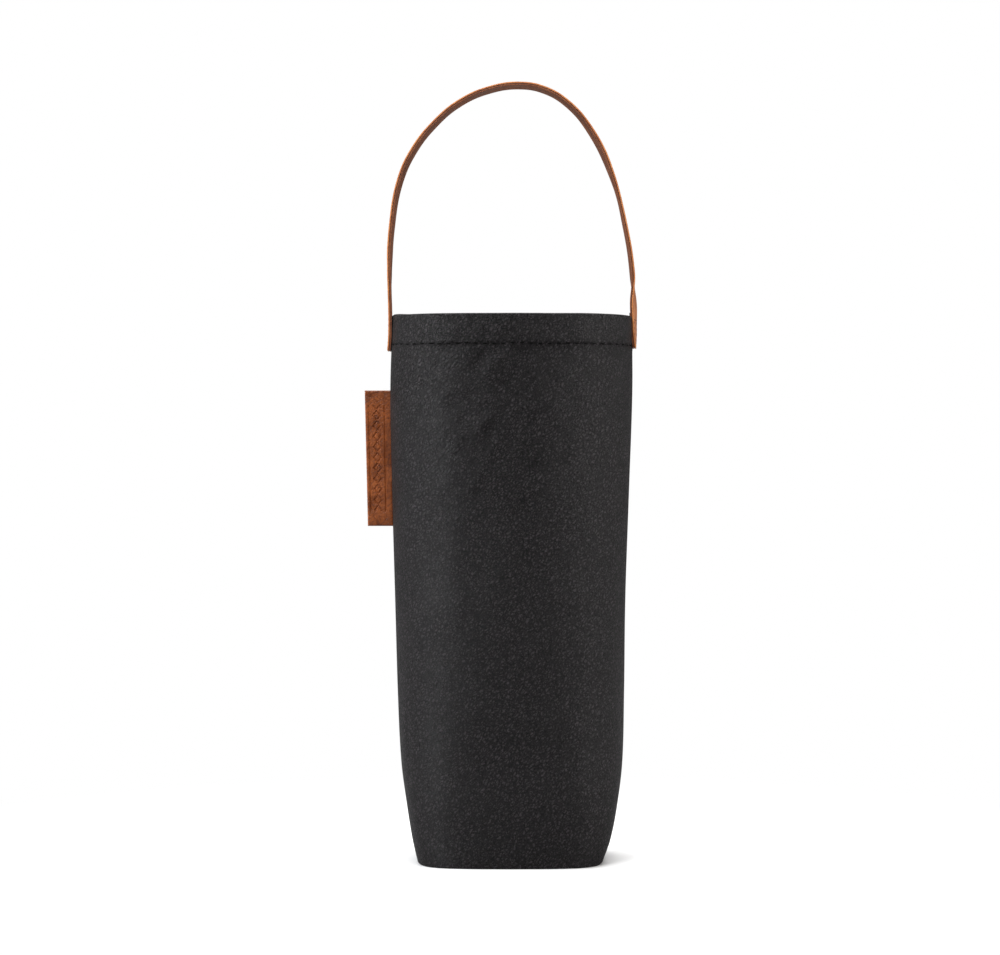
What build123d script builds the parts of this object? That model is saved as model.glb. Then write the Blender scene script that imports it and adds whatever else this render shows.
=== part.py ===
"""Wine gift bag: a soft two-panel bag with a sewn base, a two-ply strap handle and a side tag.

Millimetres, +Z up. The origin is the middle of the base's underside. The front faces -Y, and the
tag stands out of the left side seam, towards -X.
"""

from build123d import *
import os
from math import radians, tan

os.makedirs("parts", exist_ok=True)

# --- Driving dimensions -------------------------------------------------------------------------

# Outside of the body at rising heights: height, half width, half depth, squareness.
# Squareness is the handle length of each quarter curve: 0.55 is an ellipse, 1 nearly a rectangle.
body_levels = [
    (0.0, 56.5, 46.0, 0.93),
    (14.0, 60.3, 45.6, 0.94),
    (34.0, 64.0, 45.2, 0.92),
    (60.0, 67.4, 44.4, 0.86),
    (100.0, 68.9, 44.5, 0.79),
    (160.0, 70.0, 44.5, 0.75),
    (220.0, 72.0, 42.5, 0.73),
    (285.0, 73.5, 41.5, 0.71),
    (330.0, 72.6, 41.5, 0.73),
]
bag_height = body_levels[-1][0]

sheet = 0.9  # thickness of the body material
fit_gap = 0.05  # between the base and the walls that it is sewn to
hem_depth = 21.0  # height of the folded mouth hem
hem_stitch_drop = 18.0  # from the rim down to the hem's stitches
seam_allowance = 8.0  # how far the side seams reach inwards
seam_bottom = 8.0
seam_top = bag_height - hem_depth - 3.0
base_upstand = 7.5  # height of the base's turned-up edge

thread = 0.5  # thread thickness

strap_width = 19.0
strap_ply = 1.05  # each of the strap's two plies
strap_end_drop = 20.5  # from the rim down to the strap's cut ends
patch = 0.8  # thickness of the backing patches
wall_at_rim = body_levels[-1][1] + fit_gap  # where the patches stand against the walls
wall_at_strap_end = 73.25 + fit_gap
box_stitch_width = 13.0
box_stitch_height = 14.0
box_stitch_pitch = 3.5
box_stitch_length = 2.4

swing_height = 340.0  # height of the line about which the handle folds

# The line between the two plies of the arch, from the left rim over the crown to the right rim: x, z.
arch_points = [
    (-74.5, 330.0),
    (-74.4, 354.0),
    (-72.6, 385.0),
    (-67.6, 413.5),
    (-59.5, 431.0),
    (-46.0, 447.8),
    (-31.0, 460.2),
    (-13.5, 468.0),
    (5.0, 470.8),
    (20.0, 468.4),
    (34.0, 459.8),
    (48.0, 443.0),
    (60.6, 416.0),
    (68.6, 384.0),
    (72.6, 358.0),
    (74.5, 330.0),
]

arch_steps = 30  # stretches of the line beside it, on the other face of a ply

tag_bottom = 202.5
tag_height = 82.5
tag_reach = 15.4  # how far the tag stands out of the seam
tag_thickness = 1.6
tag_root_thickness = 0.8  # skived edge, where it is caught in the seam
tag_root_depth = 7.0
tag_tilt = 1.35  # degrees: the side seam leans out towards the mouth
tag_seam_x = -71.75  # outer end of the root at the tag's lower edge
tag_gap = 0.3  # between the root and the moving flap


# --- Shared outlines ----------------------------------------------------------------------------


def half_outline(half_width, half_depth, squareness, facing):
    """Two quarter curves from the left side, round the front or back, to the right side."""
    depth = -facing * half_depth
    Bezier(
        (-half_width, 0.0),
        (-half_width, squareness * depth),
        (-squareness * half_width, depth),
        (0.0, depth),
    )
    Bezier(
        (0.0, depth),
        (squareness * half_width, depth),
        (half_width, squareness * depth),
        (half_width, 0.0),
    )


def level_at(height):
    """Half width, half depth and squareness at a height, between two levels of the table."""
    for lower, upper in zip(body_levels, body_levels[1:]):
        if lower[0] <= height <= upper[0]:
            share = (height - lower[0]) / (upper[0] - lower[0])
            return [a + share * (b - a) for a, b in zip(lower[1:], upper[1:])]
    raise ValueError(f"no level at {height}")


def side_points(side, inset):
    """Points down the side of the body in the XZ plane; side is -1 for left and 1 for right."""
    return [(side * (half_width - inset), height) for height, half_width, _, _ in body_levels]


# --- Body ---------------------------------------------------------------------------------------


with BuildPart() as tag_notch:
    with BuildSketch(Plane.XZ):
        with BuildLine():
            lean = tan(radians(tag_tilt)) * tag_height
            Polyline(
                (tag_seam_x, tag_bottom),
                (tag_seam_x - lean, tag_bottom + tag_height),
                (tag_seam_x - lean + tag_root_depth, tag_bottom + tag_height),
                (tag_seam_x + tag_root_depth, tag_bottom),
                close=True,
            )
        make_face()
    extrude(amount=tag_root_thickness / 2.0, both=True)


def half_wall(heights, thickness, facing):
    """Half of the wall, lofted through the outlines at the given heights."""
    with BuildPart() as wall:
        for height in heights:
            half_width, half_depth, squareness = level_at(height)
            inner_width, inner_depth = half_width - thickness, half_depth - thickness
            with BuildSketch(Plane.XY.offset(height)):
                with BuildLine():
                    half_outline(half_width, half_depth, squareness, facing)
                    half_outline(inner_width, inner_depth, squareness, facing)
                    Line((-half_width, 0.0), (-inner_width, 0.0))
                    Line((half_width, 0.0), (inner_width, 0.0))
                make_face()
        loft(ruled=True)
    return wall.part


def allowance_strip(side, facing):
    """A panel's turned-in edge at one side seam; side is -1 for left and 1 for right."""
    with BuildPart() as strip:
        with BuildSketch(Plane.XZ):
            with BuildLine():
                outer = Polyline(*side_points(side, sheet + fit_gap))
                inner = Polyline(*side_points(side, seam_allowance))
                Line(outer @ 0, inner @ 0)
                Line(outer @ 1, inner @ 1)
            make_face()
            with Locations((0.0, (seam_bottom + seam_top) / 2.0)):
                Rectangle(4.0 * bag_height, seam_top - seam_bottom, mode=Mode.INTERSECT)
        extrude(amount=facing * sheet)
        add(tag_notch.part, mode=Mode.SUBTRACT)
    return strip.part


def body_panel(facing):
    """One half of the body, with its hem; facing is 1 for front and -1 for back."""
    hem_fold = bag_height - hem_depth
    wall_heights = [level[0] for level in body_levels if level[0] < hem_fold] + [hem_fold]
    layers = [
        half_wall(wall_heights, sheet, facing),
        half_wall([hem_fold, bag_height], 2.0 * sheet, facing),
    ]
    with BuildPart() as panel:
        for layer in layers:
            add(layer)
        add(tag_notch.part, mode=Mode.SUBTRACT)
    return panel


for name, facing in (("front_panel", 1), ("back_panel", -1)):
    panel = body_panel(facing)
    panel.part.label = name
    export_step(panel.part, f"parts/{name}.step")

for name, side in (("left_seam_allowances", -1), ("right_seam_allowances", 1)):
    strips = [allowance_strip(side, facing) for facing in (1, -1)]
    pair = Compound(children=strips, label=name)
    export_step(pair, f"parts/{name}.step")


def tray_layer(inset, bottom, top):
    """A solid slice of the space inside the body, set inwards all round."""
    with BuildPart() as layer:
        for height in (bottom, top):
            half_width, half_depth, squareness = level_at(height)
            with BuildSketch(Plane.XY.offset(height)):
                with BuildLine():
                    half_outline(half_width - inset, half_depth - inset, squareness, 1)
                    half_outline(half_width - inset, half_depth - inset, squareness, -1)
                make_face()
        loft()
    return layer.part


tray_outside = tray_layer(sheet + fit_gap, 0.0, base_upstand)
tray_hollow = tray_layer(2.0 * sheet + fit_gap, sheet, base_upstand)

with BuildPart() as base_panel:
    add(tray_outside)
    add(tray_hollow, mode=Mode.SUBTRACT)
base_panel.part.label = "base_panel"
export_step(base_panel.part, "parts/base_panel.step")


# --- Body threads -------------------------------------------------------------------------------


def thread_line(height, outer_inset, facing):
    """A row of stitches round the front or back, as one line of thread on the wall."""
    half_width, half_depth, squareness = level_at(height)
    with BuildPart() as row:
        with BuildSketch(Plane.XY.offset(height)):
            with BuildLine():
                for inset in (outer_inset, outer_inset + thread):
                    half_outline(half_width - inset, half_depth - inset, squareness, facing)
                outer_x, inner_x = half_width - outer_inset, half_width - outer_inset - thread
                Line((-outer_x, 0.0), (-inner_x, 0.0))
                Line((outer_x, 0.0), (inner_x, 0.0))
            make_face()
        extrude(amount=thread / 2.0, both=True)
    return row.part


hem_stitch_height = bag_height - hem_stitch_drop
outer_rows = [thread_line(hem_stitch_height, -thread - fit_gap, facing) for facing in (1, -1)]
inner_rows = [thread_line(hem_stitch_height, 2.0 * sheet + fit_gap, facing) for facing in (1, -1)]

with BuildPart() as hem_thread:
    for row in outer_rows:
        add(row)
    Box(4.0 * bag_height, strap_width + 2.0 * thread, 2.0 * bag_height, mode=Mode.SUBTRACT)
    for row in inner_rows:
        add(row)
hem_thread.part.label = "hem_thread"
export_step(hem_thread.part, "parts/hem_thread.step")

base_stitch_height = 0.6 * base_upstand
base_rows = [
    thread_line(base_stitch_height, 2.0 * sheet + 2.0 * fit_gap, facing) for facing in (1, -1)
]

with BuildPart() as base_seam_thread:
    for row in base_rows:
        add(row)
base_seam_thread.part.label = "base_seam_thread"
export_step(base_seam_thread.part, "parts/base_seam_thread.step")


def side_seam_thread(side):
    """The line of thread on both faces of one side's pair of seam allowances."""
    low, high = seam_bottom + thread, seam_top - thread
    with BuildPart() as rows:
        for plane, depth in ((Plane.XZ.offset(sheet), thread), (Plane.XZ.offset(-sheet), -thread)):
            with BuildSketch(plane):
                with BuildLine():
                    outer = Polyline(*side_points(side, 3.0 * sheet))
                    inner = Polyline(*side_points(side, 3.0 * sheet + thread))
                    Line(outer @ 0, inner @ 0)
                    Line(outer @ 1, inner @ 1)
                make_face()
                with Locations((0.0, (low + high) / 2.0)):
                    Rectangle(4.0 * bag_height, high - low, mode=Mode.INTERSECT)
            extrude(amount=depth)
    return rows


for name, side in (("left_side_seam_thread", -1), ("right_side_seam_thread", 1)):
    rows = side_seam_thread(side)
    rows.part.label = name
    export_step(rows.part, f"parts/{name}.step")


# --- Strap ends and backing patches -------------------------------------------------------------


def strip_layer(side, inner, thickness):
    """A layer of the strap's sewn-down end: a strip that stands a distance outside the wall."""
    low = bag_height - strap_end_drop
    with BuildPart() as layer:
        with BuildSketch(Plane.XZ):
            with BuildLine():
                Polyline(
                    (side * (wall_at_strap_end + inner), low),
                    (side * (wall_at_rim + inner), bag_height),
                    (side * (wall_at_rim + inner + thickness), bag_height),
                    (side * (wall_at_strap_end + inner + thickness), low),
                    close=True,
                )
            make_face()
        extrude(amount=strap_width / 2.0, both=True)
    return layer


def box_stitch(side):
    """Stitches in a rectangle on the outer face of the strap's end."""
    outside = patch + 2.0 * strap_ply
    low = Vector(side * (wall_at_strap_end + outside), 0.0, bag_height - strap_end_drop)
    high = Vector(side * (wall_at_rim + outside), 0.0, bag_height)
    outwards = Vector(0.0, side, 0.0).cross(high - low)
    face = Plane(origin=(low + high) / 2.0, x_dir=(0.0, 1.0, 0.0), z_dir=outwards)
    with BuildPart() as stitches:
        with BuildSketch(face):
            with GridLocations(box_stitch_pitch, box_stitch_height, 4, 2):
                SlotOverall(box_stitch_length, thread)
            with GridLocations(box_stitch_width, box_stitch_pitch, 2, 4):
                SlotOverall(box_stitch_length, thread, rotation=90.0)
        extrude(amount=0.8 * thread)
    return stitches


for name, side in (("left", -1), ("right", 1)):
    pieces = {
        f"{name}_backing_patch": strip_layer(side, 0.0, patch),
        f"{name}_strap_end_lining": strip_layer(side, patch, strap_ply),
        f"{name}_strap_end_face": strip_layer(side, patch + strap_ply, strap_ply),
        f"{name}_strap_thread": box_stitch(side),
    }
    for label, piece in pieces.items():
        piece.part.label = label
        export_step(piece.part, f"parts/{label}.step")


# --- Handle arch --------------------------------------------------------------------------------


def beside(line, share, distance):
    """A point at a share of a line's length, moved sideways to its left in the XZ plane."""
    along = line % share
    return (line @ share) + Vector(-along.Z, 0.0, along.X) * distance


def arch_ply(thickness):
    """One ply of the free arch; a positive thickness lies outside the line between the plies."""
    with BuildLine(Plane.XZ) as between_plies:
        Spline(*arch_points)
    middle = between_plies.edge()
    other_side = [beside(middle, step / arch_steps, thickness) for step in range(arch_steps + 1)]
    with BuildPart() as ply:
        with BuildSketch(Plane.XZ) as band:
            with BuildLine():
                near = Spline(*arch_points)
                far = Spline(*[(point.X, point.Z) for point in other_side])
                Line(near @ 0, far @ 0)
                Line(near @ 1, far @ 1)
            make_face()
        extrude(amount=strap_width / 2.0, both=True)
        with BuildSketch(Plane.YZ):
            with Locations((0.0, swing_height)):
                Circle(strap_width / 2.0)
            with Locations((0.0, swing_height + bag_height / 2.0)):
                Rectangle(strap_width, bag_height)
        extrude(amount=bag_height, both=True, mode=Mode.INTERSECT)
    return ply


for name, thickness in (("handle_face", strap_ply), ("handle_lining", -strap_ply)):
    ply = arch_ply(thickness)
    ply.part.label = name
    export_step(ply.part, f"parts/{name}.step")


# --- Tag ----------------------------------------------------------------------------------------

tag_root = tag_notch
tag_root.part.label = "tag_root"
export_step(tag_root.part, "parts/tag_root.step")

with BuildPart() as tag_flap:
    with BuildSketch(Plane.XZ):
        with BuildLine():
            lean = tan(radians(tag_tilt)) * tag_height
            inner_x = tag_seam_x - tag_gap
            Polyline(
                (inner_x, tag_bottom),
                (inner_x - tag_reach, tag_bottom),
                (inner_x - lean - tag_reach, tag_bottom + tag_height),
                (inner_x - lean, tag_bottom + tag_height),
                close=True,
            )
        make_face()
    extrude(amount=tag_thickness / 2.0, both=True)
    seam_edges = tag_flap.edges().filter_by(lambda edge: edge.length > tag_height - 0.1)
    seam_edges = seam_edges.sort_by(Axis.X)[-2:]
    fillet(seam_edges, radius=0.49 * tag_thickness)
tag_flap.part.label = "tag_flap"
export_step(tag_flap.part, "parts/tag_flap.step")
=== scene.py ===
# %% [markdown]
# # A wine gift bag
# A soft leather-look bag for one bottle: two panels sewn at the sides, a sewn-in base, a folded
# and stitched mouth hem, a two-ply tan strap as a handle, and a leather tag caught in a side seam.
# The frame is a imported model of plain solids. This lesson dresses it: every panel is cut flat,
# bent into place and given its thickness, as it would be on the bench.

# %% Load the frame
import bpy
import bmesh
from math import cos, exp, pi, radians, sin
from mathutils import Matrix, Vector, noise
from mathutils.geometry import interpolate_bezier


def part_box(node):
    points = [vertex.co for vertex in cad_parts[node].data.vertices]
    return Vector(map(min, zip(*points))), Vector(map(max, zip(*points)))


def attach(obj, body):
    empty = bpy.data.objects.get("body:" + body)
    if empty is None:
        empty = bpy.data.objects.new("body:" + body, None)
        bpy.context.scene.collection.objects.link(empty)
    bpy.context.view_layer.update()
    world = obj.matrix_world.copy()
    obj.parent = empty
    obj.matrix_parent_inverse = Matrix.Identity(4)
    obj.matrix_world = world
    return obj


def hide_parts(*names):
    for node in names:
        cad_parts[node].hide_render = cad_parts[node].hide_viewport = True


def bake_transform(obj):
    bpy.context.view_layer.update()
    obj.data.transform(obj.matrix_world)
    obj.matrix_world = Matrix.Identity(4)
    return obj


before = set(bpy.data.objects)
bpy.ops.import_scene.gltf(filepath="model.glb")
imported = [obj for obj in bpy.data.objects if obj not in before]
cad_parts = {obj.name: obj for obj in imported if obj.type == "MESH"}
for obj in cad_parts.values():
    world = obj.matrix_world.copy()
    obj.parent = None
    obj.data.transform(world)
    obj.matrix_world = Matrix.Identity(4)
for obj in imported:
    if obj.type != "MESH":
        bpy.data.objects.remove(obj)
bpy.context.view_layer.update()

# %% [markdown]
# ## Measures
# Lengths are in metres. What the frame knows is read from it: the rim's height, the strap's width
# and the tag's outline. What it doesn't know is named here once.

# %% Measures of the bag
mm = 0.001
rim_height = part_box("front_panel")[1].z
hem_bottom = rim_height - 21 * mm
hem_stitch_height = rim_height - 18 * mm
leather = 0.9 * mm
strap_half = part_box("handle_face")[1].y
tag_low, tag_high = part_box("tag_flap")
print("rim", rim_height, "strap half width", strap_half, "tag", tag_low, tag_high)

# %% [markdown]
# ## The camera
# It stands level with the middle of the bag and its handle and looks straight at the front, far
# enough away for the sides to stay nearly parallel.

# %% Camera
camera_distance = 1600 * mm
camera_height = 232 * mm
camera_aside = -7 * mm
view_width = 609 * mm
sensor = 36.0


def look_at_the_front():
    camera = bpy.data.objects.new("camera", bpy.data.cameras.new("camera"))
    bpy.context.collection.objects.link(camera)
    camera.location = (camera_aside, -camera_distance, camera_height)
    camera.rotation_euler = (radians(90), 0, 0)
    camera.data.sensor_width = sensor
    camera.data.lens = sensor * camera_distance / view_width
    bpy.context.scene.camera = camera
    print("lens", round(camera.data.lens, 1), "mm")


look_at_the_front()

# %% [markdown]
# ## The body's shape
# The body is nearly a rectangle at the base and an oval at the mouth. Each level is four quarter
# curves. A level is measured along its curve, so that leather keeps its width as it wraps round.

# %% Levels of the body
# Height, half width, half depth, squareness from 0 to 1, and how far the level leans to the right.
# All but the squareness are in mm.
levels = [
    (0.0, 56.2, 45.0, 0.90, -0.9),
    (14.0, 60.2, 45.3, 0.93, -0.1),
    (34.0, 63.9, 45.2, 0.92, 0.3),
    (60.0, 67.3, 44.4, 0.86, 0.2),
    (100.0, 68.9, 44.5, 0.79, -0.3),
    (160.0, 70.2, 44.4, 0.75, -0.8),
    (220.0, 72.1, 42.6, 0.73, -0.6),
    (285.0, 73.8, 41.5, 0.71, -0.1),
    (330.0, 72.9, 41.4, 0.73, 0.5),
]
curve_steps = 48


def level_at(height):
    """The level's values at a height, along a smooth line through the table."""
    z = min(max(height / mm, levels[0][0]), levels[-1][0])
    last = len(levels) - 1
    k = max(i for i in range(last) if levels[i][0] <= z)
    before, low, high, after = (levels[min(max(i, 0), last)] for i in (k - 1, k, k + 1, k + 2))
    span = high[0] - low[0]
    t = (z - low[0]) / span
    values = []
    for i in range(1, 5):
        rise_low = (high[i] - before[i]) / (high[0] - before[0]) * span
        rise_high = (after[i] - low[i]) / (after[0] - low[0]) * span
        values.append(
            (2 * t**3 - 3 * t**2 + 1) * low[i] + (t**3 - 2 * t**2 + t) * rise_low
            + (3 * t**2 - 2 * t**3) * high[i] + (t**3 - t**2) * rise_high
        )
    width, depth, squareness, lean = values
    return width * mm, depth * mm, squareness, lean * mm


def running_lengths(points):
    """The length of a line of points up to each of them."""
    lengths = [0.0]
    for a, b in zip(points, points[1:]):
        lengths.append(lengths[-1] + (b - a).length)
    return lengths


def find_stretch(lengths, goal):
    """The stretch of a line that holds a length along it, and the share of the stretch before it."""
    k = 0
    while k < len(lengths) - 2 and lengths[k + 1] < goal:
        k += 1
    return k, (goal - lengths[k]) / (lengths[k + 1] - lengths[k])


level_curves = {}


def level_curve(height):
    """Points along the front half of a level, left to right, and the length up to each."""
    key = round(height / mm, 3)
    if key not in level_curves:
        width, depth, square, lean = level_at(height)
        left, middle, right = Vector((-width, 0, 0)), Vector((0, -depth, 0)), Vector((width, 0, 0))
        up = Vector((0, -square * depth, 0))
        along = Vector((square * width, 0, 0))
        points = interpolate_bezier(left, left + up, middle - along, middle, curve_steps)
        points += interpolate_bezier(middle, middle + along, right + up, right, curve_steps)[1:]
        points = [point + Vector((lean, 0, 0)) for point in points]
        level_curves[key] = points, running_lengths(points)
    return level_curves[key]


def on_level(share, height):
    """Place and outward direction at a share of the front half of a level."""
    points, lengths = level_curve(height)
    k, t = find_stretch(lengths, min(max(share, 0.0), 1.0) * lengths[-1])
    place = points[k].lerp(points[k + 1], t)
    ahead = (points[k + 1] - points[k]).normalized()
    behind = (points[k] - points[max(k - 1, 0)]).normalized() if k else Vector((0, -1, 0))
    beyond = (points[k + 2] - points[k + 1]).normalized() if k + 2 < len(points) else Vector((0, 1, 0))
    start, end = (behind + ahead).normalized(), (ahead + beyond).normalized()
    run = start.lerp(end, t).normalized()
    return place, Vector((run.y, -run.x, 0))


panel_width = level_curve(rim_height)[1][-1]
print("half round the mouth", round(panel_width / mm, 1), "mm")

# %% [markdown]
# ## Creases and folds
# Soft leather-look sheet doesn't stand flat. It has slow hollows, short slanting creases where it
# was handled near the mouth, a pucker along the hem's stitches, a furrow at each side seam, and one
# upright crease low on the front. They are worked out as one height over the panel, and the sheet
# is moved by it.

# %% Relief of a panel
stitch_pitch = 5.5 * mm
# The upright crease stands near the front's lower left corner.
crease_line = -61.5 * mm


def bump_at(distance, width):
    """1 on a line and falling to 0 about twice its width away."""
    return exp(-((distance / width) ** 2))


def fade(value, low, high):
    """0 below low and 1 above high, with a smooth step between."""
    t = min(max((value - low) / (high - low), 0.0), 1.0)
    return t * t * (3 - 2 * t)


def slanting_creases(x, z, side):
    """Short ridges that run up to the right, strongest at the upper left and middle."""
    across = (x - 0.75 * z) / mm
    along = (x + z) / mm
    ridge = noise.noise(Vector((across / 9, along / 26, side * 7.3)))
    fine = noise.noise(Vector((across / 4.2, along / 12, side * 3.1 + 20)))
    height = fade(z, 0.16, 0.30) * (1 - 0.75 * fade(x, 0.0, 0.06)) + 0.12
    return height * (0.55 * ridge * abs(ridge) * 2.2 + 0.16 * fine)


def panel_relief(x, z, seam_distance, along, side):
    """How far the sheet stands out of the plain body, at a place on the front or back panel."""
    slow = 1.1 * noise.noise(Vector((x / 0.075, side * 5.0, z / 0.12)))
    bands = 0.30 * noise.noise(Vector((x / 0.017, side * 9.0, z / 0.22)))
    standing = fade(z, 0.0, 0.04) * (1 - 0.6 * fade(z, 0.30, 0.33)) * fade(seam_distance, 0.002, 0.02)
    furrow = -0.75 * bump_at(seam_distance, 0.9 * mm) * (1 - fade(z, hem_bottom - 0.004, hem_bottom))
    pull = 0.5 + 0.5 * cos(2 * pi * along / stitch_pitch)
    sewn = -bump_at(z - hem_stitch_height, 1.0 * mm) * (0.06 + 0.50 * pull)
    edge_of_hem = 0.14 * fade(z, hem_bottom - 0.6 * mm, hem_bottom + 0.9 * mm)
    crease = -0.5 * bump_at(x - crease_line + 0.03 * (z - 0.06), 1.3 * mm)
    crease *= fade(z, 0.045, 0.06) * (1 - fade(z, 0.082, 0.10)) * (side > 0)
    sewn *= fade(seam_distance, 0.0, 0.012)
    folds = (slow + bands + slanting_creases(x, z, side)) * standing
    return mm * (folds + furrow + sewn + edge_of_hem + crease - 0.14)


def relief_at(share, height, side):
    """A place on the plain body, its outward direction, and the panel's relief there."""
    place, outwards = on_level(share, height)
    length = level_curve(height)[1][-1]
    on_wall = max(min(height, rim_height), 0.0)
    relief = panel_relief(place.x, on_wall, min(share, 1 - share) * length, share * length, side)
    return place, outwards, relief


def rim_drop(x, height):
    """How far the mouth hangs below the rim's height: in slow waves, and less at the left corner."""
    corner = -0.9 * mm * fade(-x, 0.060, 0.072)
    waves = 0.25 * mm * (1 + noise.noise(Vector((x / 0.03, 4.0, 0.0))))
    return (corner + waves) * fade(height, rim_height - 0.05, rim_height)


# %% [markdown]
# ## One sheet for each panel
# A panel's sheet starts inside the base seam, turns round the bottom edge, climbs the wall, folds
# over at the rim and comes down inside as the hem. That is one path of heights and distances
# inside the surface, so a flat grid whose rows follow the path makes wall, fold and hem at once.

# %% Path of the sheet from base seam to hem
middle_inset = 0.5 * leather
turn_radius = 0.54 * leather


def evenly(start, end, count):
    """Steps from start to just short of end."""
    return [start + (end - start) * k / count for k in range(count)]


def sheet_path():
    """Height and distance inside the surface, row by row."""
    folded_inset = middle_inset + 2 * turn_radius
    low_centre = leather
    high_centre = rim_height - leather
    path = [(height, folded_inset) for height in evenly(7 * mm, low_centre, 4)]
    for k in range(6):
        turn = pi * k / 6
        across = middle_inset + turn_radius * (1 + cos(turn))
        path.append((low_centre - turn_radius * sin(turn), across))
    heights = evenly(low_centre, 0.020, 14) + evenly(0.020, hem_bottom - 0.003, 170)
    heights += evenly(hem_bottom - 0.003, hem_stitch_height + 0.002, 20)
    heights += evenly(hem_stitch_height + 0.002, high_centre, 14)
    path += [(height, middle_inset) for height in heights]
    for k in range(9):
        turn = pi * k / 8
        path.append((high_centre + turn_radius * sin(turn), middle_inset + turn_radius * (1 - cos(turn))))
    path += [(height, folded_inset) for height in evenly(high_centre - mm, hem_bottom, 12)]
    return path


def seam_shares():
    """Where the columns stand: close together at the side seams, evenly between."""
    near = [0.0, 0.0016, 0.0034, 0.0056, 0.0085, 0.0125, 0.018]
    between, count = 1 - 2 * near[-1], 132
    middle = [near[-1] + between * k / count for k in range(1, count)]
    return near + middle + [1 - share for share in reversed(near)]


sheet_rows = sheet_path()
sheet_columns = seam_shares()
print("a panel has", len(sheet_rows), "rows and", len(sheet_columns), "columns")


# %% Bend a flat grid into a panel
def new_piece(name, mesh_maker, *finishes):
    """A finished piece from a bmesh, with its finishes, standing at the origin."""
    mesh = bpy.data.meshes.new(name)
    bm = bmesh.new()
    mesh_maker(bm)
    bm.to_mesh(mesh)
    bm.free()
    piece = bpy.data.objects.new(name, mesh)
    bpy.context.collection.objects.link(piece)
    for finish in finishes:
        mesh.materials.append(finish)
    mesh.shade_smooth()
    return piece


def add_modifier(piece, kind, **settings):
    modifier = piece.modifiers.new(kind.title(), kind)
    for name, value in settings.items():
        setattr(modifier, name, value)
    return modifier


def panel_place(share, row, side):
    """Where a point of the sheet goes: share along the wall, row of the path, front or back."""
    height, inset = sheet_rows[row]
    place, outwards, relief = relief_at(share, height, side)
    place = place + outwards * (relief - inset)
    place.z = height - rim_drop(place.x, height)
    place.y = min(place.y, -0.02 * mm)
    return Vector((place.x, place.y * side, place.z))


def bend_panel(side):
    def make(bm):
        rows, columns = len(sheet_rows), len(sheet_columns)
        bmesh.ops.create_grid(bm, x_segments=columns - 1, y_segments=rows - 1, size=0.5)
        for vert in bm.verts:
            column = round((vert.co.x + 0.5) * (columns - 1))
            row = round((vert.co.y + 0.5) * (rows - 1))
            vert.co = panel_place(sheet_columns[column], row, side)
        sew_in_allowances(bm, side)
        if side < 0:
            bmesh.ops.reverse_faces(bm, faces=bm.faces)
    return make


def sew_in_allowances(bm, side):
    """The panel's side edges turned inwards: a narrow strip at each side seam."""
    low, high, depth, steps = 9 * mm, hem_bottom - 3 * mm, 8 * mm, 40
    beside = -side * (0.5 * leather + 0.05 * mm)
    for hand in (-1, 1):
        strip = bmesh.ops.create_grid(bm, x_segments=4, y_segments=steps, size=0.5)["verts"]
        for vert in strip:
            height = low + (high - low) * (vert.co.y + 0.5)
            width, _, _, lean = level_at(height)
            inwards = 1.2 * mm + depth * (vert.co.x + 0.5)
            wave = 0.12 * mm * noise.noise(Vector((height / 0.02, hand, side)))
            vert.co = Vector((lean + hand * (width - inwards), beside + wave, height))


# %% [markdown]
# ## Shader maths as arithmetic
# A small class wraps a socket, so that a finish reads as sums and products. Each sum adds its own
# Math node. A second class holds one material and adds every other kind of node the same way.

# %% Tones and finishes
class Tone:
    """The value of one socket, or of a place, inside a finish."""

    def __init__(self, finish, socket):
        self.finish, self.socket = finish, socket

    def maths(self, operation, other):
        return self.finish.node("ShaderNodeMath", {"operation": operation}, {0: self, 1: other})

    def __add__(self, other):
        return self.maths("ADD", other)

    __radd__ = __add__

    def __mul__(self, other):
        return self.maths("MULTIPLY", other)

    __rmul__ = __mul__


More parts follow.
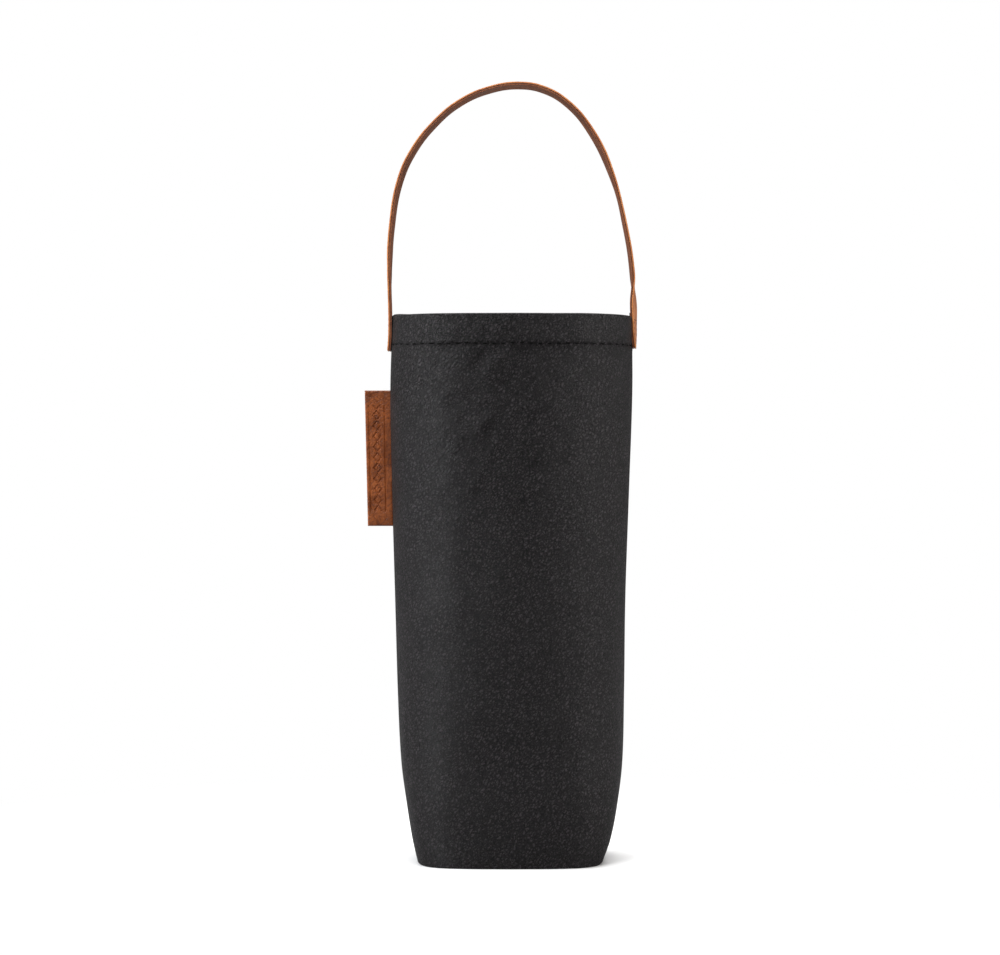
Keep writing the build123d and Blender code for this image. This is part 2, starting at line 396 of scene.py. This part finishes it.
class Finish:
    """One material: a Principled shader and the nodes that feed it."""

    def __init__(self, name, even):
        """even holds the sockets whose value is the same all over."""
        self.material = bpy.data.materials.new(name)
        self.material.use_nodes = True
        self.tree = self.material.node_tree
        self.shader = self.tree.nodes["Principled BSDF"]
        self.place = self.node("ShaderNodeTexCoord", {}, {}, "Object")
        for socket, value in even.items():
            self.shader.inputs[socket].default_value = value

    def node(self, kind, settings, inputs, output=0):
        node = self.tree.nodes.new(kind)
        for name, value in settings.items():
            setattr(node, name, value)
        for name, value in inputs.items():
            if isinstance(value, Tone):
                self.tree.links.new(value.socket, node.inputs[name])
            else:
                node.inputs[name].default_value = value
        return Tone(self, node.outputs[output])

    def turned(self, scale=(1, 1, 1), turn=(0, 0, 0)):
        """The object's coordinates, turned and then scaled."""
        return self.node("ShaderNodeMapping", {"vector_type": "TEXTURE"},
                         {"Vector": self.place, "Scale": scale, "Rotation": turn})

    def cloud(self, scale, detail=3.0, roughness=0.55, place=None):
        return self.node("ShaderNodeTexNoise", {}, {"Vector": place or self.place, "Scale": scale,
                                                    "Detail": detail, "Roughness": roughness})

    def cells(self, scale, feature="F1", place=None):
        return self.node("ShaderNodeTexVoronoi", {"feature": feature},
                         {"Vector": place or self.place, "Scale": scale})

    def wandering(self, place, scale, distance):
        """A place moved about by a noise, so that lines of cells don't run straight."""
        noise_colour = self.node("ShaderNodeTexNoise", {}, {"Vector": self.place, "Scale": scale}, 1)
        return self.node("ShaderNodeVectorMath", {"operation": "MULTIPLY_ADD"},
                         {0: noise_colour, 1: (distance, distance, distance), 2: place})

    def network(self, scale, width, place):
        """0 on the lines between cells, rising to 1 inside each cell."""
        return self.between(self.cells(scale, "DISTANCE_TO_EDGE", place), 0.0, width)

    def between(self, value, low, high, to_low=0.0, to_high=1.0):
        """A value's smooth step from low to high, as to_low to to_high."""
        return self.node("ShaderNodeMapRange", {"interpolation_type": "SMOOTHSTEP"},
                         {"Value": value, "From Min": low, "From Max": high,
                          "To Min": to_low, "To Max": to_high})

    def blend(self, share, first, second):
        """A colour between two. A Mix node's colours are its inputs 6 and 7, and output 2."""
        return self.node("ShaderNodeMix", {"data_type": "RGBA"}, {0: share, 6: first, 7: second}, 2)

    def part(self, axis):
        """One coordinate of the object's place."""
        return self.node("ShaderNodeSeparateXYZ", {}, {0: self.place}, axis)

    def feed(self, socket, tone):
        self.tree.links.new(tone.socket, self.shader.inputs[socket])

    def raise_surface(self, height, distance, strength=1.0):
        self.feed("Normal", self.node("ShaderNodeBump", {}, {"Height": height, "Distance": distance,
                                                            "Strength": strength}))


def rgb(red, green, blue):
    """A colour from its screen values, 0 to 255."""
    return tuple((value / 255) ** 2.2 for value in (red, green, blue)) + (1.0,)


# %% [markdown]
# ## Charcoal body leather
# The body is a thin leather-look sheet, nearly black, with a weak sheen. Its grain is two sizes of
# slanting pebbles with creases between them and fine flecks over them, in the base colour and the
# bump. In the base colour the light flecks are partly the grain's own colour and partly painted
# highlights, and the creases between the pebbles are darkened with painted shade. The creases in the
# bump are deepest where hands have bent the sheet: high up, and towards the left. Where the flecks
# are light, the surface is a little rougher.


# %% Charcoal finish
def charcoal(name, dark, light, grain_depth):
    finish = Finish(name, {"Specular IOR Level": 0.28})
    drift = finish.between(finish.cloud(28, 5, 0.65), 0.32, 0.68)
    fine = finish.between(finish.cloud(1050, 2, 0.7), 0.42, 0.58)
    slanted = finish.turned((0.75, 1.0, 1.5), (0, radians(38), 0))
    uneven = finish.wandering(slanted, 220.0, 2.6 * mm)
    pebbles = finish.network(430, 0.30, uneven)
    grains = finish.network(780, 0.32, uneven)
    height = finish.between(finish.part("Z"), 0.12, 0.30)
    aside = finish.between(finish.part("X"), 0.0, 0.06, 1.0, 0.45)
    patches = finish.between(finish.cloud(35, 3, 0.6, slanted), 0.36, 0.62)
    handled = (height * aside * 0.8 + 0.25) * (patches * 0.7 + 0.3)
    creases = pebbles * handled
    grain = grains * 0.35 + fine * 0.65
    # Light flecks in the base colour: partly the grain's own colour, partly painted highlights. The factor
    # on pebbles darkens the creases between them with painted shade.
    speckle_glints_and_crease_shade = (fine * 0.78 + grains * 0.14 + drift * 0.08) * (0.20 + 0.80 * pebbles)
    finish.feed("Base Color", finish.blend(speckle_glints_and_crease_shade, dark, light))
    finish.feed("Roughness", 0.40 + 0.12 * drift + 0.12 * fine)
    finish.raise_surface(grain * grain_depth + creases * 1.8, 1.2 * mm, 1.0)
    return finish.material


body_grain = charcoal("charcoal_leather", rgb(1, 1, 1), rgb(88, 82, 86), 2.2)
body_back = charcoal("leather_back", rgb(26, 24, 24), rgb(44, 41, 41), 0.6)


def black_thread():
    finish = Finish("black_thread", {"Roughness": 0.7, "Specular IOR Level": 0.15})
    twist = finish.node("ShaderNodeTexWave", {"bands_direction": "DIAGONAL"},
                        {"Vector": finish.place, "Scale": 900.0, "Distortion": 0.6})
    finish.feed("Base Color", finish.blend(twist, rgb(1, 1, 1), rgb(10, 9, 9)))
    finish.raise_surface(twist, 0.06 * mm)
    return finish.material


thread_finish = black_thread()
print("finishes", [material.name for material in bpy.data.materials])

# %% [markdown]
# ## The two body panels
# The front and back panels are the same sheet bent towards either side. Thickness comes last, from
# a Solidify modifier whose second finish is the sheet's rougher back.


# %% Make the front and back panels
def give_thickness(piece):
    """The body sheet's thickness, half to each side, with its back as the second finish."""
    add_modifier(piece, "SOLIDIFY", thickness=leather, offset=0.0, material_offset=1,
                 use_quality_normals=True)


def make_panel(name, side, *nodes):
    piece = new_piece(name, bend_panel(side), body_grain, body_back)
    give_thickness(piece)
    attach(piece, "bag")
    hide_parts(*nodes)
    # Cut flat, the panel is its width round the mouth plus 16 mm for the two side seams, and 28 mm
    # longer for the hem and the base seam. Only the width is worked out here, and nothing uses it.
    panel_width + 16 * mm
    print(name, len(piece.data.polygons), "faces")


make_panel("front_panel_sheet", 1, "front_panel", "left_seam_allowances")
make_panel("back_panel_sheet", -1, "back_panel", "right_seam_allowances")

# %% [markdown]
# ## The base
# The base is a flat piece whose edge turns up inside the walls, where it is sewn. A ring of points
# on the lowest level is filled and its rim is drawn upwards. The face in the middle is then inset,
# so that the shading stays even up to the rim.


# %% Make the base
# The steps in which the rim grows outwards and upwards, in mm.
upturned_edge = ((0.35, 0.15), (0.2, 0.4), (0.05, 0.6), (0.0, 2.4), (0.0, 3.0))


def base_outline(share, height, inset):
    """A point round the bag at a height: left to right along the front, then back behind."""
    around = (2 * share) % 1.0
    facing = 1 if share < 0.5 else -1
    place, outwards = on_level(around if facing > 0 else 1 - around, height)
    place = place - outwards * inset
    return Vector((place.x, place.y * facing, height))


def shape_base(bm):
    corners = 160
    bmesh.ops.create_circle(bm, cap_ends=True, segments=corners, radius=1.0)
    bm.verts.ensure_lookup_table()
    for k, vert in enumerate(bm.verts):
        vert.co = base_outline(k / corners, 0.5 * leather + 0.1 * mm, 2.4 * leather)
    bm.faces.ensure_lookup_table()
    centre = bm.faces[0]
    upper = list(bm.edges)
    for out, up in upturned_edge:
        grown = bmesh.ops.extrude_edge_only(bm, edges=upper)["geom"]
        upper = [part for part in grown if isinstance(part, bmesh.types.BMEdge)]
        verts = [part for part in grown if isinstance(part, bmesh.types.BMVert)]
        for vert in verts:
            flat = Vector((vert.co.x, vert.co.y, 0))
            vert.co += flat.normalized() * out * mm + Vector((0, 0, up * mm))
    for thickness in (2 * mm, 6 * mm, 12 * mm):
        bmesh.ops.inset_region(bm, faces=[centre], thickness=thickness, use_even_offset=True)
    bmesh.ops.recalc_face_normals(bm, faces=bm.faces)


base = new_piece("base_sheet", shape_base, body_grain, body_back)
give_thickness(base)
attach(base, "bag")
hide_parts("base_panel")
print("base", len(base.data.polygons), "faces")

# %% [markdown]
# ## Stitches
# A lockstitch shows as a row of short plump dashes, each drawn into the leather at its two ends.
# One small ball, stretched along the seam, is enough for a stitch.


# %% Stitch rows
stitch_length = 2.9 * mm
thread_width = 0.95 * mm
inside_hem = 2.35 * leather


def add_stitch(bm, place, along, outwards, length=stitch_length):
    """One small ball, stretched along the seam."""
    across = along.cross(outwards).normalized()
    frame_of_stitch = Matrix((along.normalized() * length / 2, across * thread_width / 2,
                              outwards.normalized() * thread_width / 2)).transposed().to_4x4()
    bmesh.ops.create_uvsphere(bm, u_segments=8, v_segments=6, radius=1.0,
                              matrix=Matrix.Translation(place) @ frame_of_stitch)


def wall_point(share, height, side, sunk):
    """A point on the finished wall's outer face, or sunk below it."""
    place, outwards, relief = relief_at(share, height, side)
    place = place + outwards * (relief - sunk)
    return (Vector((place.x, place.y * side, height - rim_drop(place.x, height))),
            Vector((outwards.x, outwards.y * side, 0)))


def mouth_stitches(bm):
    """One row outside and one inside the hem, with none outside where the strap covers it."""
    length = level_curve(hem_stitch_height)[1][-1]
    count = int(length / stitch_pitch)
    for side in (1, -1):
        for k in range(count + 1):
            along = (k + 0.5) * stitch_pitch
            share = along / length
            waver = 0.45 * mm * noise.noise(Vector((k * 0.37, side, 2.0)))
            under_strap = min(along, length - along) < strap_half + 1.5 * mm
            sunk_rows = () if under_strap else ((-0.03 * mm, 1),)
            for sunk, faces_out in sunk_rows + ((inside_hem, -1),):
                place, outwards = wall_point(share, hem_stitch_height + waver, side, sunk)
                ahead, _ = wall_point(share + 0.004, hem_stitch_height + waver, side, sunk)
                add_stitch(bm, place, ahead - place, outwards * faces_out)


hem_stitches = new_piece("hem_stitches", mouth_stitches, thread_finish)
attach(hem_stitches, "bag")
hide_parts("hem_thread")
print("hem stitches", len(hem_stitches.data.polygons), "faces")


# %% Hidden seam stitches inside
def side_seam_stitches(hand):
    first, count = 12 * mm, 52

    def make(bm):
        for side in (-1, 1):
            for k in range(count):
                height = first + k * stitch_pitch
                width, _, _, lean = level_at(height)
                place = Vector((lean + hand * (width - 3.4 * mm), side * (leather + 0.22 * mm), height))
                add_stitch(bm, place, Vector((0, 0, 1)), Vector((0, side, 0)))
    return make


def base_stitches(bm):
    count, height, inset = 68, 4.5 * mm, 2.95 * leather
    for k in range(count):
        place = base_outline((k + 0.5) / count, height, inset)
        ahead = base_outline((k + 0.6) / count, height, inset)
        along = ahead - place
        add_stitch(bm, place, along, Vector((along.y, -along.x, 0)))


for name, maker, node in (
    ("left_side_stitches", side_seam_stitches(-1), "left_side_seam_thread"),
    ("right_side_stitches", side_seam_stitches(1), "right_side_seam_thread"),
    ("base_stitches", base_stitches, "base_seam_thread"),
):
    stitches = new_piece(name, maker, thread_finish)
    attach(stitches, "bag")
    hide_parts(node)

# %% [markdown]
# ## The strap
# The handle is two plies of tan leather glued back to back, sewn down outside the bag at each side
# seam. It is one long strip, so it is laid flat, bent along the arch and given a slight twist
# where the sewn ends make it lean. The same path carries the black pads under its ends.

# %% Path of the strap
# The line between the plies, from the left end over the crown to the right end: x, z in mm.
strap_route = [
    (-74.5, 309.1), (-74.0, 315.0), (-73.8, 322.0), (-73.8, 331.0), (-74.3, 354.0), (-72.8, 385.0),
    (-67.7, 413.0), (-59.8, 430.5), (-47.0, 447.0), (-31.5, 460.0), (-13.5, 468.0), (5.0, 470.7),
    (20.0, 468.0), (34.0, 459.7), (48.1, 443.2), (61.1, 416.2), (69.3, 384.5), (73.4, 358.0),
    (74.3, 335.0), (74.5, 322.0), (74.9, 310.8),
]
# How far the strap is twisted at points of its length: height, degrees, for each leg.
left_twist = [(309, 1), (348, 1), (357, -0.5), (370, -2.5), (415, -3), (472, 0)]
right_twist = [(309, 3), (322, 8), (336, 10), (356, -1), (385, 0), (400, 1), (430, -3), (472, 0)]
ply = 1.05 * mm
pad = 0.5 * mm


def strap_line():
    """Closely spaced points along a smooth curve through the route."""
    curve = bpy.data.curves.new("strap_line", "CURVE")
    curve.dimensions = "3D"
    spline = curve.splines.new("BEZIER")
    spline.bezier_points.add(len(strap_route) - 1)
    for point, (x, z) in zip(spline.bezier_points, strap_route):
        point.co = Vector((x * mm, 0, z * mm))
        point.handle_left_type = point.handle_right_type = "AUTO"
    spline.resolution_u = 16
    guide = bpy.data.objects.new("strap_line", curve)
    bpy.context.collection.objects.link(guide)
    mesh = bpy.data.meshes.new_from_object(guide)
    points = [vert.co.copy() for vert in mesh.vertices]
    bpy.data.objects.remove(guide)
    bpy.data.curves.remove(curve)
    bpy.data.meshes.remove(mesh)
    return points


strap_points = strap_line()
strap_lengths = running_lengths(strap_points)
strap_length = strap_lengths[-1]
print("strap", round(strap_length / mm), "mm long")


def from_table(table, value):
    """A table's second column at a value of its first, with smooth steps between its rows."""
    if value <= table[0][0]:
        return table[0][1]
    for (a, first), (b, second) in zip(table, table[1:]):
        if value <= b:
            return first + (second - first) * fade(value, a, b)
    return table[-1][1]


def strap_place(length, across, lift):
    """A point of the strap: along its length, across its width, and lifted off the middle line."""
    length = min(max(length, 0.0), strap_length)
    k, t = find_stretch(strap_lengths, length)
    place = strap_points[k].lerp(strap_points[k + 1], t)
    here = (strap_points[k + 1] - strap_points[k]).normalized()
    last = len(strap_points) - 1
    after = strap_points[min(k + 2, last)] - strap_points[min(k + 1, last - 1)]
    run = here.lerp(after.normalized(), t).normalized()
    outwards = Vector((-run.z, 0, run.x))
    table = left_twist if length < strap_length / 2 else right_twist
    twist = radians(from_table(table, place.z / mm))
    side = Vector((0, cos(twist), 0)) + outwards * sin(twist)
    normal = outwards * cos(twist) - Vector((0, sin(twist), 0))
    return place + side * across + normal * lift


# %% Tan leather for the strap, its edges and the tag
def tan_leather(name, dark, light, pore_depth, roughness):
    finish = Finish(name, {"Specular IOR Level": 0.45})
    drift = finish.between(finish.cloud(90, 4, 0.6), 0.35, 0.65)
    streaks = finish.cloud(420, 3, 0.6, finish.turned((1, 1, 2.5)))
    slanted = finish.turned((1.8, 1, 0.8), (0, radians(-35), 0))
    wrinkles = finish.network(260, 0.09, finish.wandering(slanted, 120.0, 5 * mm))
    pores = finish.between(finish.cells(800), 0.15, 0.6)
    specks = finish.between(finish.cloud(800, 2, 0.7), 0.45, 0.70)
    colour = finish.blend(drift * 0.35 + streaks * 0.40 + wrinkles * 0.25, dark, light)
    finish.feed("Base Color", finish.blend(specks * 0.45, colour, dark))
    finish.feed("Roughness", roughness - 0.08 + 0.2 * drift)
    height = pores * pore_depth + streaks * 0.5 + drift * 0.4 + wrinkles * 0.4
    finish.raise_surface(height, 0.20 * mm, 0.8)
    return finish.material


strap_face_finish = tan_leather("tan_strap_face", rgb(142, 78, 42), rgb(206, 134, 86), 0.5, 0.45)
strap_lining_finish = tan_leather("strap_lining", rgb(104, 58, 36), rgb(156, 96, 62), 0.7, 0.62)
strap_edge_finish = tan_leather("strap_raw_edge", rgb(206, 112, 60), rgb(252, 168, 98), 0.3, 0.5)
lining_edge_finish = tan_leather("lining_raw_edge", rgb(112, 60, 38), rgb(170, 104, 68), 0.3, 0.6)
glue_finish = tan_leather("glue_line", rgb(58, 34, 30), rgb(84, 52, 44), 0.2, 0.6)


# %% Bend the strap's layers
def strap_layer(first, last, lift, half_width):
    rows, steps = 8, int((last - first) / (1.6 * mm))

    def make(bm):
        bmesh.ops.create_grid(bm, x_segments=rows, y_segments=steps, size=0.5)
        for vert in bm.verts:
            across = vert.co.x * 2 * half_width
            vert.co = strap_place(first + (vert.co.y + 0.5) * (last - first), across, lift)
        bmesh.ops.recalc_face_normals(bm, faces=bm.faces)
    return make


def make_strap_layer(name, first, last, lift, thickness, half_width, finishes, rounding):
    """A strip along the strap, lifted off its middle line, with its own finish round the edge."""
    piece = new_piece(name, strap_layer(first, last, lift, half_width), *finishes)
    add_modifier(piece, "SOLIDIFY", thickness=thickness, offset=0.0, material_offset_rim=1)
    add_modifier(piece, "BEVEL", width=rounding, segments=3, limit_method="ANGLE", angle_limit=radians(50))
    return piece


glue = 0.16 * mm
strap_face = make_strap_layer("strap_face", 0, strap_length, 0.5 * ply + 0.5 * glue, ply - glue, strap_half,
                              (strap_face_finish, strap_edge_finish), 0.22 * mm)
strap_lining = make_strap_layer("strap_lining", 0, strap_length, -0.5 * ply - 0.5 * glue, ply - glue,
                                strap_half - 0.1 * mm, (strap_lining_finish, lining_edge_finish), 0.22 * mm)
strap_glue = make_strap_layer("strap_glue", 0.2 * mm, strap_length - 0.2 * mm, 0.0, 2.2 * glue,
                              strap_half - 0.12 * mm, (glue_finish, glue_finish), 0.04 * mm)
for piece in (strap_face, strap_lining, strap_glue):
    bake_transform(piece)
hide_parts("handle_face", "left_strap_end_face", "right_strap_end_face")
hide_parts("handle_lining", "left_strap_end_lining", "right_strap_end_lining")

# %% Pads under the strap's ends
pad_finish = charcoal("pad_leather", rgb(8, 7, 7), rgb(16, 14, 14), 0.8)
pad_length = 21 * mm
for name, first, node in (
    ("left_pad", 0.0, "left_backing_patch"),
    ("right_pad", strap_length - pad_length, "right_backing_patch"),
):
    piece = make_strap_layer(name, first, first + pad_length, -ply - 0.5 * pad, pad - 0.06 * mm,
                             strap_half + 0.1 * mm, (pad_finish, pad_finish), 0.15 * mm)
    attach(piece, "bag")
    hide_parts(node)


# %% Box stitches on the strap's ends
box_height = 14 * mm
box_margin = 3 * mm


def box_of_stitches(start):
    """A rectangle of stitches on a strap end's outer face, with the same number on each side."""
    count, half_across = 4, 6.5 * mm
    sunk = ply - 0.3 * mm

    def stitch(bm, step, across, step_ahead, across_ahead):
        place = strap_place(step, across, sunk)
        ahead = strap_place(step + step_ahead, across + across_ahead, sunk)
        out = strap_place(step, across, 2 * ply) - place
        add_stitch(bm, place, ahead - place, out, 2.6 * mm)

    def make(bm):
        for k in range(count):
            for across in (-half_across, half_across):
                stitch(bm, start + (k + 0.5) * box_height / count, across, mm, 0)
            for step in (start, start + box_height):
                stitch(bm, step, (k + 0.5 - count / 2) * 2 * half_across / count, 0, mm)
    return make


for name, start, node in (
    ("left_strap_stitches", box_margin, "left_strap_thread"),
    ("right_strap_stitches", strap_length - box_margin - box_height, "right_strap_thread"),
):
    stitches = new_piece(name, box_of_stitches(start), thread_finish)
    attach(stitches, "bag")
    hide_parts(node)

# %% [markdown]
# ## The tag
# The tag is a stiff strip of vegetable-tanned leather, caught on edge in the left side seam. Its
# face is pressed with a plain running pattern, two lines and a row of lozenges, as a real dent.

# %% Pressed pattern
tag_length = tag_high.z - tag_low.z
tag_thickness = tag_high.y - tag_low.y
tag_reach = 15.4 * mm
tag_lean = (tag_high.x - tag_low.x - tag_reach) / tag_length
tag_widening = 0.8 * mm
press_depth = 0.55 * mm
pattern_aside = 1 * mm
lozenge_length = 6.4 * mm
lozenge_reach = 2.6 * mm
line_across = 4.6 * mm
line_width = 0.35 * mm
plain_end = 9 * mm
root_reach = 6.8 * mm


def pressed(across, along):
    """How deep the pattern is pressed, 0 to 1, at a place on the tag's face."""
    if min(along, tag_length - along) < plain_end:
        return 0.0
    step = (along % lozenge_length) / lozenge_length - 0.5
    outline = abs(abs(step) * 2 + abs(across) / lozenge_reach - 0.85)
    lines = abs(abs(across) - line_across) / line_width
    return max(1 - fade(outline, 0.10, 0.26), 1 - fade(lines, 0.6, 1.4))


def bend_tag(bm):
    """The pressed face as a grid, with a side wall and a rounded back drawn from its border."""
    columns, rows = 64, 300
    bmesh.ops.create_grid(bm, x_segments=columns, y_segments=rows, size=0.5)
    rim = [edge for edge in bm.edges if edge.is_boundary]
    half = 0.5 * tag_thickness
    for vert in bm.verts:
        across, along = vert.co.x * tag_reach, (vert.co.y + 0.5) * tag_length
        edge = min(tag_reach / 2 - abs(across), along, tag_length - along)
        rounding = 0.35 * mm * (1 - fade(edge, 0, 0.7 * mm))
        middle = tag_high.x - tag_reach / 2 - tag_lean * along
        warp = 0.22 * mm * noise.noise(Vector((across / 0.012, along / 0.03, 1.0)))
        y = -half + rounding + press_depth * pressed(across + pattern_aside, along) + warp
        wider = tag_widening * (along / tag_length) * (vert.co.x + 0.5)
        vert.co = Vector((middle + across + wider, y, tag_low.z + along))
    side = bmesh.ops.extrude_edge_only(bm, edges=rim)["geom"]
    for vert in (part for part in side if isinstance(part, bmesh.types.BMVert)):
        vert.co.y += 2 * half - 0.7 * mm
    loop = [part for part in side if isinstance(part, bmesh.types.BMEdge)]
    back_loop = bmesh.ops.extrude_edge_only(bm, edges=loop)["geom"]
    for vert in (part for part in back_loop if isinstance(part, bmesh.types.BMVert)):
        vert.co.y = half
        vert.co.x += 0.35 * mm * (1 if vert.co.x < (tag_low.x + tag_high.x) / 2 else -1)
    last = [part for part in back_loop if isinstance(part, bmesh.types.BMEdge)]
    bmesh.ops.holes_fill(bm, edges=last)
    bmesh.ops.recalc_face_normals(bm, faces=bm.faces)


tag_finish = tan_leather("tag_leather", rgb(72, 29, 12), rgb(190, 104, 50), 0.7, 0.42)
tag = new_piece("tag_strip", bend_tag, tag_finish)
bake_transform(tag)
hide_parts("tag_flap")
print("tag", len(tag.data.polygons), "faces")


def bend_tag_root(bm):
    """The thin strip that carries the tag on into the seam."""
    low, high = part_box("tag_root")
    middle_low = (low.x + high.x + tag_lean * tag_length) / 2
    bmesh.ops.create_grid(bm, x_segments=8, y_segments=40, size=0.5)
    for vert in bm.verts:
        along = (vert.co.y + 0.5) * tag_length
        middle = middle_low - tag_lean * along
        vert.co = Vector((middle + vert.co.x * root_reach, 0.0, tag_low.z + along))


tag_root = new_piece("tag_root_strip", bend_tag_root, tag_finish)
add_modifier(tag_root, "SOLIDIFY", thickness=0.7 * mm, offset=0.0)
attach(tag_root, "bag")
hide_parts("tag_root")

# %% [markdown]
# ## Floor and light
# The bag stands on a pale floor that turns plain white away from it. To the camera the room is
# white too, but both light the bag only a little. Two soft boxes stand beside the bag and slightly
# behind its middle, so that its sides shine and the middle of its front stays dark. The left one is
# stronger and a little cooler. A weak lamp fills from the front, and a large one hangs overhead.


# %% Floor, room and lights
def pale_floor():
    """Pale near the bag, where its shadow falls, and glowing white farther out."""
    bm = bmesh.new()
    bmesh.ops.create_grid(bm, x_segments=1, y_segments=1, size=30.0)
    mesh = bpy.data.meshes.new("floor")
    bm.to_mesh(mesh)
    bm.free()
    floor = bpy.data.objects.new("floor", mesh)
    bpy.context.collection.objects.link(floor)
    finish = Finish("floor_white", {"Roughness": 0.9})
    seen = finish.node("ShaderNodeLightPath", {}, {})
    finish.feed("Base Color", finish.blend(seen, (0.30, 0.30, 0.30, 1), (0.92, 0.92, 0.92, 1)))
    distance = finish.node("ShaderNodeVectorMath", {"operation": "LENGTH"}, {0: finish.place}, 1)
    far = finish.between(distance, 0.10, 0.45) * seen
    glow = finish.node("ShaderNodeEmission", {}, {"Strength": 1.0})
    lit = Tone(finish, finish.shader.outputs[0])
    mixed = finish.node("ShaderNodeMixShader", {}, {0: far, 1: lit, 2: glow})
    finish.tree.links.new(mixed.socket, finish.tree.nodes["Material Output"].inputs["Surface"])
    mesh.materials.append(finish.material)


def soft_light(name, place, size, power, colour):
    """A soft box that points at the bag."""
    light = bpy.data.lights.new(name, "AREA")
    light.shape, light.size, light.size_y = "RECTANGLE", size, size * 1.4
    light.energy, light.color = power, colour
    lamp = bpy.data.objects.new(name, light)
    bpy.context.collection.objects.link(lamp)
    lamp.location = place
    aim = Vector((0, 0, 0.2)) - Vector(place)
    lamp.rotation_euler = aim.to_track_quat("-Z", "Y").to_euler()


def bright_room(strength):
    """A room that looks white and lights the bag with the given strength."""
    world = bpy.data.worlds.new("studio")
    world.use_nodes = True
    nodes, links = world.node_tree.nodes, world.node_tree.links
    rays = nodes.new("ShaderNodeLightPath")
    level = nodes.new("ShaderNodeMapRange")
    level.inputs["To Min"].default_value = strength
    level.inputs["To Max"].default_value = 1.0
    background = nodes["Background"]
    background.inputs["Color"].default_value = (1, 1, 1, 1)
    links.new(rays.outputs["Is Camera Ray"], level.inputs["Value"])
    links.new(level.outputs["Result"], background.inputs["Strength"])
    bpy.context.scene.world = world


pale_floor()
soft_light("left_softbox", (-1.3, 0.10, 0.55), 0.4, 15, (0.96, 0.98, 1.0))
soft_light("right_softbox", (1.3, 0.10, 0.50), 0.4, 9, (1.0, 0.97, 0.94))
soft_light("front_fill", (-0.7, -1.5, 1.5), 0.6, 15, (1.0, 1.0, 1.0))
soft_light("overhead", (0.0, 0.1, 2.0), 1.6, 68, (1.0, 1.0, 1.0))
bright_room(0.10)
bpy.context.scene.view_settings.view_transform = "Standard"
